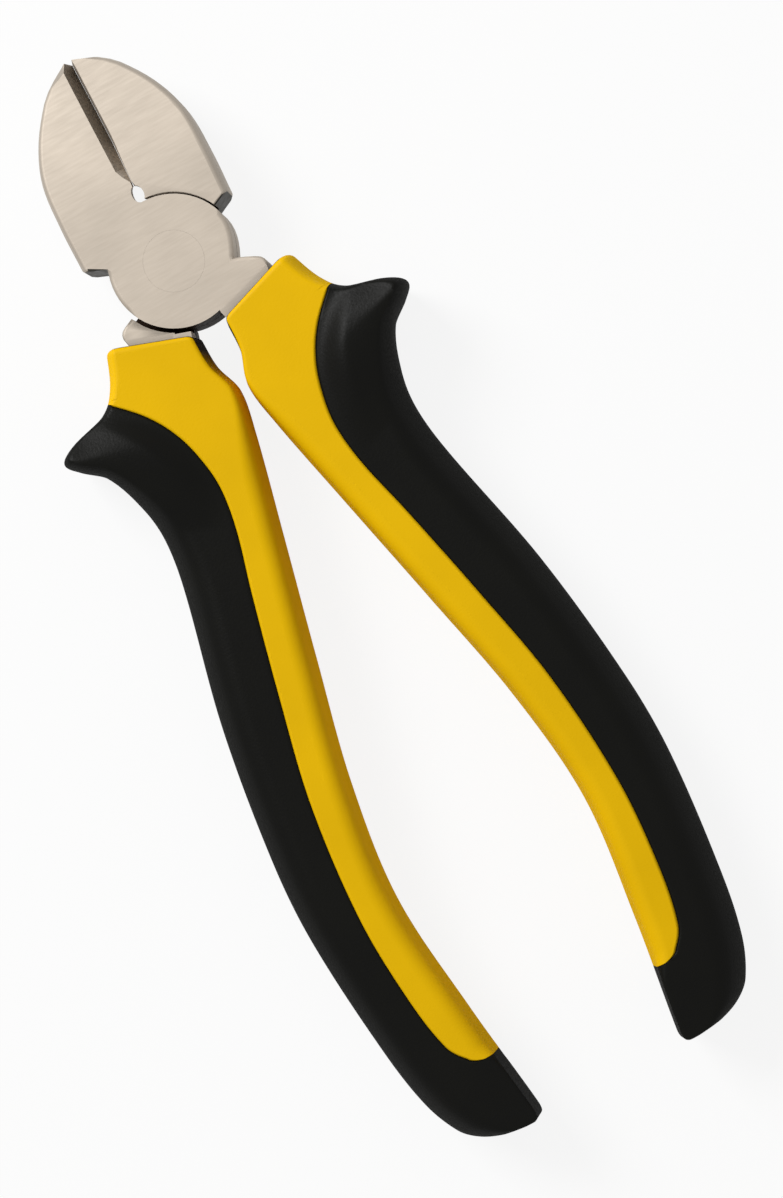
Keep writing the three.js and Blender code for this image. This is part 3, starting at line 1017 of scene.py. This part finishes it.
def skin_rows(grip, inner):
    """Rows of the skin's outside or inside, from the line on the front face round to the line on the back."""
    _, tail = end_rows(grip)
    last = grip.end - 2 * grip.skin if inner else grip.end - grip.tail_round
    stations = grip.stations(grip.line_start + FIRST_ROW, last)
    rows = []
    for station in stations if inner else [*stations[:-1], *tail]:
        section = grip.section(station)
        line = section["line"]
        shrink = rounded_inset(grip, station)
        half = []
        for upper in (True, False):
            side = []
            for arc in black_arcs(section):
                dip = groove(grip, arc - line) if line > 0 else 0
                side.append(grip_point(grip, section, arc, grip.skin if inner else dip, upper, shrink))
            half.append(side)
        rows.append([*half[0], *half[1][::-1][1:]])
    return rows


# Side of each grip, and the body that it rides
SIDES = (("right", "front_lever"), ("left", "rear_lever"))
# Metres: how near two places count as one
GRIP_MERGE = 0.002 * MM
SAME_ROW = GRIP_MERGE / 2
GRIP_SMOOTH = 35


def placed(rows, side):
    """The left grip is the right one turned half a turn about the tool's length."""
    if side == "right":
        return rows
    return [[(-x, y, 2 * MID - z) for x, y, z in row] for row in rows]


def close_mesh(piece):
    """Merges the rows that meet, and leaves the piece open in edit mode."""
    edit(piece)
    bpy.ops.mesh.select_all(action="SELECT")
    bpy.ops.mesh.remove_doubles(threshold=GRIP_MERGE)
    bpy.ops.mesh.dissolve_degenerate(threshold=SAME_ROW)


def cap_tail(piece, rows):
    """Fills the open ring at a sheet's last row."""
    end = rows[-1][0][1] * MM

    def last_row(edge):
        return edge.is_boundary and all(abs(v.co.y - end) < SAME_ROW for v in edge.verts)

    select(piece, "edges", last_row)
    bpy.ops.mesh.edge_face_add()


def finish_grip(piece, material, body, slot, node):
    """Turns the faces of a closed piece in edit mode outward, shades it and dresses it."""
    bpy.ops.mesh.select_all(action="SELECT")
    bpy.ops.mesh.normals_make_consistent(inside=False)
    bpy.ops.object.mode_set(mode="OBJECT")
    smooth(piece, GRIP_SMOOTH)
    dress(piece, [material], body, slot, node)


class PLIERS_OT_sleeves(bpy.types.Operator):
    """Model the two hard yellow sleeves"""

    bl_idname = "pliers.sleeves"
    bl_label = "Yellow Sleeves"

    def execute(self, context):
        settings = context.scene.pliers_grip
        grip = Grip(settings, context.scene.pliers_steel.joint_radius)
        rows = sleeve_rows(grip)
        material = yellow_plastic(settings)
        for side, body in SIDES:
            piece = grid_of(f"{side}_yellow_sleeve", placed(rows, side))
            close_mesh(piece)
            bpy.ops.mesh.select_all(action="SELECT")
            bpy.ops.mesh.fill_holes(sides=0)
            finish_grip(piece, material, body, "yellow_plastic", f"{side}_sleeve")
        return {"FINISHED"}


class PLIERS_OT_skins(bpy.types.Operator):
    """Model the two soft black overmoulds"""

    bl_idname = "pliers.skins"
    bl_label = "Black Overmoulds"

    def execute(self, context):
        settings = context.scene.pliers_grip
        grip = Grip(settings, context.scene.pliers_steel.joint_radius)
        outside_rows, inside_rows = skin_rows(grip, inner=False), skin_rows(grip, inner=True)
        material = black_rubber(settings)
        for side, body in SIDES:
            piece = self.sheet(f"{side}_black_skin", placed(outside_rows, side))
            inside = self.sheet(f"{side}_black_inside", placed(inside_rows, side))
            activate(piece)
            inside.select_set(True)
            bpy.ops.object.join()
            edit(piece)
            select(piece, "edges", lambda edge: edge.is_boundary)
            bpy.ops.mesh.bridge_edge_loops()
            finish_grip(piece, material, body, "black_rubber", f"{side}_overmould")
        return {"FINISHED"}

    def sheet(self, name, rows):
        """The outside or the inside of a skin, closed at the tail."""
        piece = grid_of(name, rows)
        close_mesh(piece)
        cap_tail(piece, rows)
        return piece


# Stage


def white_for_view(tree, shader, output, amount):
    """Shows white to the camera, in reflections and through clear things, and a shader to all other rays."""
    nodes, links = tree.nodes, tree.links
    path = nodes.new("ShaderNodeLightPath")
    seen = path.outputs["Is Camera Ray"]
    for ray in ("Is Glossy Ray", "Is Transmission Ray"):
        either = nodes.new("ShaderNodeMath")
        either.operation = "MAXIMUM"
        links.new(seen, either.inputs[0])
        links.new(path.outputs[ray], either.inputs[1])
        seen = either.outputs[0]
    factor = nodes.new("ShaderNodeMath")
    factor.operation = "MULTIPLY"
    factor.inputs[1].default_value = amount
    links.new(seen, factor.inputs[0])
    white = nodes.new("ShaderNodeEmission" if output.type == "OUTPUT_MATERIAL" else "ShaderNodeBackground")
    white.inputs["Color"].default_value = (1, 1, 1, 1)
    white.inputs["Strength"].default_value = 1
    mix = nodes.new("ShaderNodeMixShader")
    links.new(factor.outputs[0], mix.inputs["Fac"])
    links.new(shader.outputs[0], mix.inputs[1])
    links.new(white.outputs[0], mix.inputs[2])
    links.new(mix.outputs[0], output.inputs["Surface"])


def add_floor(settings):
    deselect_all()
    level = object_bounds()[0].z - settings.floor_gap
    bpy.ops.mesh.primitive_plane_add(size=settings.floor_size, location=(0, 0, level))
    floor = bpy.context.object
    floor.name = "floor"
    bpy.ops.object.transform_apply(location=True, rotation=False, scale=False)
    floor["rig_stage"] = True
    material = bpy.data.materials.new("floor_white")
    material.use_nodes = True
    tree = material.node_tree
    shader = tree.nodes["Principled BSDF"]
    shader.inputs["Base Color"].default_value = (*settings.floor_tone, 1)
    shader.inputs["Roughness"].default_value = settings.floor_roughness
    shader.inputs["Specular IOR Level"].default_value = 0
    white_for_view(tree, shader, tree.nodes["Material Output"], settings.floor_white)
    floor.data.materials.append(material)


def light_scene(scene, settings):
    """A soft surrounding light and one key lamp."""
    scene.world = scene.world or bpy.data.worlds.new("World")
    scene.world.use_nodes = True
    tree = scene.world.node_tree
    ambient = tree.nodes["Background"]
    ambient.inputs["Color"].default_value = (*settings.ambient_tint, 1)
    ambient.inputs["Strength"].default_value = settings.ambient
    white_for_view(tree, ambient, tree.nodes["World Output"], 1)

    place = Vector(settings.key_place)
    turn = (Vector(settings.aim) - place).to_track_quat("-Z", "Y").to_euler()
    bpy.ops.object.light_add(type="AREA", location=place, rotation=turn)
    key = bpy.context.object
    key.name = "key_lamp"
    key.data.energy = settings.key_power
    key.data.size = settings.key_size


def aim_camera(scene, settings):
    eye = Vector(settings.eye)
    back = (eye - Vector(settings.aim)).normalized()
    up = Vector((math.sin(settings.roll), math.cos(settings.roll), 0))
    right = up.cross(back).normalized()
    turn = Matrix((right, back.cross(right), back)).transposed()
    bpy.ops.object.camera_add()
    camera = bpy.context.object
    camera.matrix_world = Matrix.Translation(eye) @ turn.to_4x4()
    camera.data.lens = settings.lens
    camera.data.clip_start = settings.near_clip
    scene.camera = camera


class PLIERS_OT_stage(bpy.types.Operator):
    """Set up the floor, the light and the camera"""

    bl_idname = "pliers.stage"
    bl_label = "Stage"

    def execute(self, context):
        settings = context.scene.pliers_stage
        add_floor(settings)
        light_scene(context.scene, settings)
        aim_camera(context.scene, settings)
        context.scene.view_settings.view_transform = "Standard"
        return {"FINISHED"}


class PLIERS_PT_panel(bpy.types.Panel):
    """Lists the steps that model the pliers"""

    bl_idname = "PLIERS_PT_panel"
    bl_label = "Cutting Pliers"
    bl_space_type = "VIEW_3D"
    bl_region_type = "UI"
    bl_category = "Pliers"

    def draw(self, context):
        for group, operators in STEPS:
            box = self.layout.box()
            settings = getattr(context.scene, group)
            for key in settings.__annotations__:
                box.prop(settings, key)
            for operator in operators:
                box.operator(operator.bl_idname)


STEPS = (
    ("pliers_steel", (PLIERS_OT_forgings, PLIERS_OT_rivet)),
    ("pliers_grip", (PLIERS_OT_sleeves, PLIERS_OT_skins)),
    ("pliers_stage", (PLIERS_OT_stage,)),
)
GROUPS = {"pliers_stage": StageSettings, "pliers_steel": SteelSettings, "pliers_grip": GripSettings}
OPERATORS = tuple(operator for _, operators in STEPS for operator in operators)


def register():
    for cls in (*GROUPS.values(), *OPERATORS, PLIERS_PT_panel):
        bpy.utils.register_class(cls)
    for name, group in GROUPS.items():
        setattr(bpy.types.Scene, name, PointerProperty(type=group))


def unregister():
    for name in GROUPS:
        delattr(bpy.types.Scene, name)
    for cls in (PLIERS_PT_panel, *reversed(OPERATORS), *GROUPS.values()):
        bpy.utils.unregister_class(cls)


def main():
    register()
    for operator in OPERATORS:
        group, name = operator.bl_idname.split(".")
        getattr(getattr(bpy.ops, group), name)()


if __name__ == "__main__":
    main()
